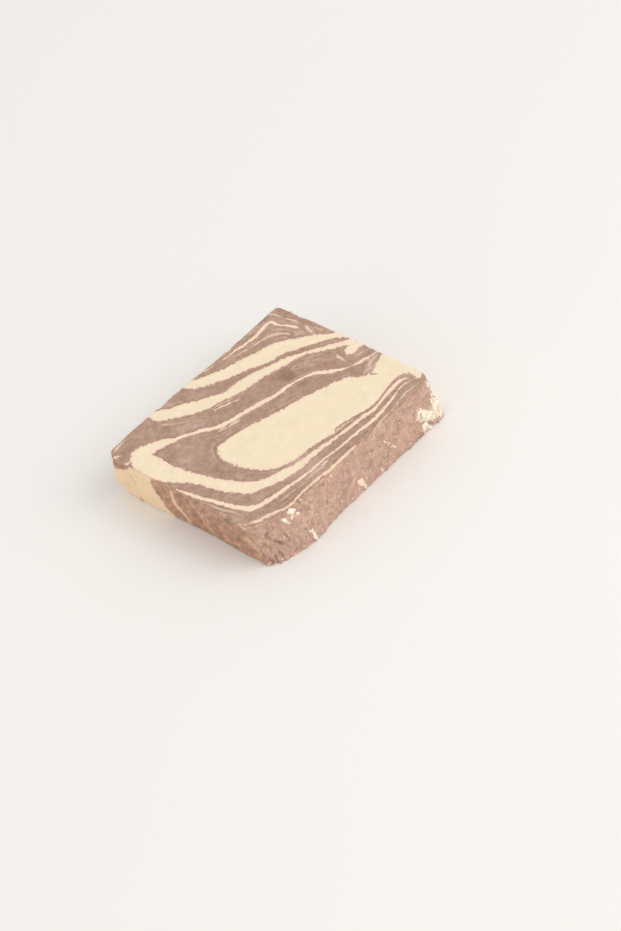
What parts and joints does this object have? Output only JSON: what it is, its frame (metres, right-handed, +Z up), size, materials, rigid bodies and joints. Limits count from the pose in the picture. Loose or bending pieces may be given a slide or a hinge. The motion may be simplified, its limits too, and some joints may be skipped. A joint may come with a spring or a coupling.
{
  "type": "sesame halva block",
  "caption": "Thick square-cut slice of marbled plain and cocoa sesame halva with crumbly edges, lying flat on its cut face.",
  "frame": {"origin": "middle of the slice's box, at the height of the surface it lies on", "axes": "+Z up through the thickness, away from the face it lies on; +X along the longer side of the face, from the worn front left corner's end to the other cut end; +Y across the slice to its back"},
  "size_m": [0.0966, 0.085, 0.021],
  "materials": {
    "halva": "dry, slightly waxy sesame paste, pale cream marbled with milky cocoa brown; soft crumbly grain"
  },
  "bodies": {
    "root": {"halva_slice": "halva"}
  },
  "joints": []
}
